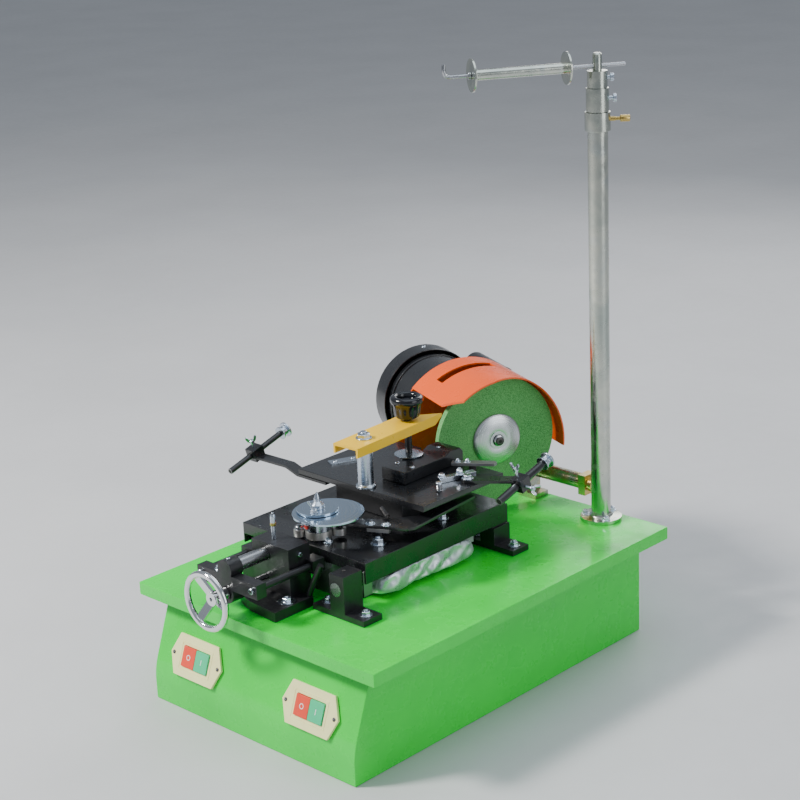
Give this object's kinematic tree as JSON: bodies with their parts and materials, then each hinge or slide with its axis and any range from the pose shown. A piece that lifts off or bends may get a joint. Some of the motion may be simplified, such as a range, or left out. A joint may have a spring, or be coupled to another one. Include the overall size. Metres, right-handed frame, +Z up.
{
  "type": "band saw blade grinder",
  "caption": "Bench band saw blade tooth grinder: sloped cabinet, cam driven vise table on rods, motor with guarded disc wheel, blade rollers and a hanging mast.",
  "frame": {"origin": "centre of the cabinet underside, on the bench", "axes": "+Z up, -Y the sloped face with the two switches and the handwheel, +X the long open side seen in the picture"},
  "size_m": [0.487, 0.682, 0.8015],
  "materials": {
    "green_paint": "gloss enamel",
    "plain_steel": "bare sheet",
    "black_rubber": "matt",
    "cream_plastic": "satin moulded",
    "red_plastic": "satin moulded",
    "green_plastic": "satin moulded",
    "black_casting": "black paint over a rough casting",
    "black_gloss": "gloss black paint",
    "ground_steel": "ground bright",
    "zinc_plate": "bright zinc plate",
    "galvanised": "galvanised, slightly yellow passivated",
    "yellow_zinc": "yellow passivated zinc",
    "cast_aluminium": "turned or die cast",
    "chrome": "polished",
    "silver_cloth": "silver coated cloth",
    "yellow_paint": "gloss enamel",
    "orange_paint": "gloss enamel",
    "black_plastic": "polished phenolic",
    "green_abrasive": "bonded grit"
  },
  "bodies": {
    "frame": {"base_cabinet": "green_paint", "top_plate": "green_paint", "bottom_plate": "plain_steel", "cable_gland": "black_rubber", "switch_left": "cream_plastic", "switch_right": "cream_plastic", "bracket_front_left": "black_casting", "bracket_front_right": "black_casting", "bracket_back_left": "black_casting", "bracket_back_right": "black_casting", "guide_rod_left": "ground_steel", "guide_rod_right": "ground_steel", "slide_base": "black_casting", "motor_stand": "yellow_zinc", "mast_tube": "galvanised"},
    "stop_button_left": {"stop_button_left": "red_plastic"},
    "start_button_left": {"start_button_left": "green_plastic"},
    "stop_button_right": {"stop_button_right": "red_plastic"},
    "start_button_right": {"start_button_right": "green_plastic"},
    "table": {"table_plate": "black_gloss", "slide_bearing_left": "cast_aluminium", "slide_bearing_right": "cast_aluminium", "feed_gearmotor": "cast_aluminium", "dust_cover": "silver_cloth", "vise_base": "black_casting", "vise_plate": "black_gloss", "clamp_post": "zinc_plate", "tooth_finger": "zinc_plate", "support_arm_left": "black_gloss", "support_arm_right": "black_gloss"},
    "jaw": {"jaw_block": "black_gloss"},
    "cam": {"cam_shaft": "zinc_plate", "cam_ring": "ground_steel", "cam_disc_large": "zinc_plate", "cam_disc_small": "zinc_plate"},
    "feed_arm": {"feed_arm": "black_gloss"},
    "feed_arm_roller": {"feed_arm_roller": "ground_steel"},
    "infeed_slide": {"slide_yoke": "black_casting", "quill": "ground_steel"},
    "follower_roller": {"follower_roller": "ground_steel"},
    "handwheel": {"handwheel": "chrome", "feed_screw": "ground_steel"},
    "clamp_arm": {"clamp_arm": "yellow_paint"},
    "clamp_pad": {"clamp_pad": "zinc_plate"},
    "clamp_knob": {"clamp_knob": "black_plastic"},
    "support_rod_left": {"support_rod_left": "black_gloss"},
    "support_roller_left": {"support_roller_left": "zinc_plate"},
    "support_rod_right": {"support_rod_right": "black_gloss"},
    "support_roller_right": {"support_roller_right": "zinc_plate"},
    "grinding_head": {"motor_mount": "black_casting", "motor_body": "black_gloss", "fan_cover": "black_gloss", "wheel_guard": "orange_paint"},
    "spindle": {"arbor": "ground_steel", "grinding_wheel": "green_abrasive", "wheel_flange": "cast_aluminium"},
    "mast_extension": {"mast_extension": "galvanised"},
    "mast_head": {"mast_head": "galvanised"},
    "cross_rod": {"cross_rod": "ground_steel"},
    "hanging_roller": {"hanging_roller": "galvanised"}
  },
  "joints": [
    {"name": "stop_button_left_press", "type": "slide", "parent": "frame", "child": "stop_button_left", "axis": [0, 0.9374, -0.3484], "range_m": [0, 0.003], "stiffness_N_per_m": 400},
    {"name": "start_button_left_press", "type": "slide", "parent": "frame", "child": "start_button_left", "axis": [0, 0.9374, -0.3484], "range_m": [0, 0.003], "stiffness_N_per_m": 400},
    {"name": "stop_button_right_press", "type": "slide", "parent": "frame", "child": "stop_button_right", "axis": [0, 0.9374, -0.3484], "range_m": [0, 0.003], "stiffness_N_per_m": 400},
    {"name": "start_button_right_press", "type": "slide", "parent": "frame", "child": "start_button_right", "axis": [0, 0.9374, -0.3484], "range_m": [0, 0.003], "stiffness_N_per_m": 400},
    {"name": "table_slide", "type": "slide", "parent": "frame", "child": "table", "axis": [0, 1, 0], "range_m": [0, 0.006], "stiffness_N_per_m": 1500},
    {"name": "jaw_lift", "type": "slide", "parent": "table", "child": "jaw", "axis": [0, 0, 1], "range_m": [0, 0.004]},
    {"name": "cam_spin", "type": "hinge", "parent": "table", "child": "cam", "pos_m": [-0.021, -0.142, 0.24], "axis": [0, 0, 1], "continuous": true},
    {"name": "feed_arm_swing", "type": "hinge", "parent": "table", "child": "feed_arm", "pos_m": [0.0403, -0.096, 0.238], "axis": [0, 0, 1], "range_deg": [-8, 0], "stiffness_Nm_per_rad": 0.6},
    {"name": "feed_arm_roller_spin", "type": "hinge", "parent": "feed_arm", "child": "feed_arm_roller", "pos_m": [-0.0029, -0.1224, 0.2265], "axis": [0, 0, 1], "continuous": true},
    {"name": "infeed_travel", "type": "slide", "parent": "frame", "child": "infeed_slide", "axis": [0, 1, 0], "range_m": [-0.006, 0]},
    {"name": "follower_roller_spin", "type": "hinge", "parent": "infeed_slide", "child": "follower_roller", "pos_m": [-0.0408, -0.1577, 0.2265], "axis": [0, 0, 1], "continuous": true},
    {"name": "handwheel_turn", "type": "hinge", "parent": "infeed_slide", "child": "handwheel", "pos_m": [-0.0395, -0.32, 0.187], "axis": [0, 1, 0], "range_deg": [-1080, 0]},
    {"name": "clamp_arm_swing", "type": "hinge", "parent": "table", "child": "clamp_arm", "pos_m": [-0.026, -0.048, 0.325], "axis": [0, 0, 1], "range_deg": [-90, 90]},
    {"name": "clamp_pad_lift", "type": "slide", "parent": "clamp_arm", "child": "clamp_pad", "axis": [0, 0, 1], "range_m": [0, 0.004]},
    {"name": "clamp_knob_turn", "type": "hinge", "parent": "clamp_pad", "child": "clamp_knob", "pos_m": [-0.03143, 0.04083, 0.3], "axis": [0, 0, 1], "range_deg": [0, 960]},
    {"name": "support_rod_left_slide", "type": "slide", "parent": "table", "child": "support_rod_left", "axis": [0, 0.9588, 0.284], "range_m": [-0.015, 0.015]},
    {"name": "support_roller_left_spin", "type": "hinge", "parent": "support_rod_left", "child": "support_roller_left", "pos_m": [-0.244, -0.047, 0.259], "axis": [0, 0.9588, 0.284], "continuous": true},
    {"name": "support_rod_right_slide", "type": "slide", "parent": "table", "child": "support_rod_right", "axis": [0, 0.9588, 0.284], "range_m": [-0.015, 0.015]},
    {"name": "support_roller_right_spin", "type": "hinge", "parent": "support_rod_right", "child": "support_roller_right", "pos_m": [0.125, 0.0875, 0.258], "axis": [0, 0.9588, 0.284], "continuous": true},
    {"name": "head_tilt", "type": "hinge", "parent": "frame", "child": "grinding_head", "pos_m": [-0.042, 0.276, 0.193], "axis": [1, 0, 0], "range_deg": [-15, 0]},
    {"name": "spindle_spin", "type": "hinge", "parent": "grinding_head", "child": "spindle", "pos_m": [-0.0108, 0.1958, 0.2598], "axis": [0.9278, -0.373, 0], "continuous": true},
    {"name": "mast_lift", "type": "slide", "parent": "frame", "child": "mast_extension", "axis": [0, 0, 1], "range_m": [0, 0.15]},
    {"name": "mast_head_swivel", "type": "hinge", "parent": "mast_extension", "child": "mast_head", "pos_m": [0.1248, 0.2573, 0.76], "axis": [0, 0, 1], "range_deg": [-170, 170]},
    {"name": "cross_rod_slide", "type": "slide", "parent": "mast_head", "child": "cross_rod", "axis": [0.538, 0.843, 0], "range_m": [-0.015, 0.015]},
    {"name": "hanging_roller_spin", "type": "hinge", "parent": "cross_rod", "child": "hanging_roller", "pos_m": [0.1248, 0.2573, 0.78], "axis": [0.538, 0.843, 0], "continuous": true}
  ],
  "couplings": [
    {"joint": "handwheel_turn", "follows": "infeed_travel", "rad_per_m": 3141.6},
    {"joint": "clamp_knob_turn", "follows": "clamp_pad_lift", "rad_per_m": 4188.8},
    {"joint": "jaw_lift", "follows": "clamp_pad_lift", "ratio": 1}
  ]
}
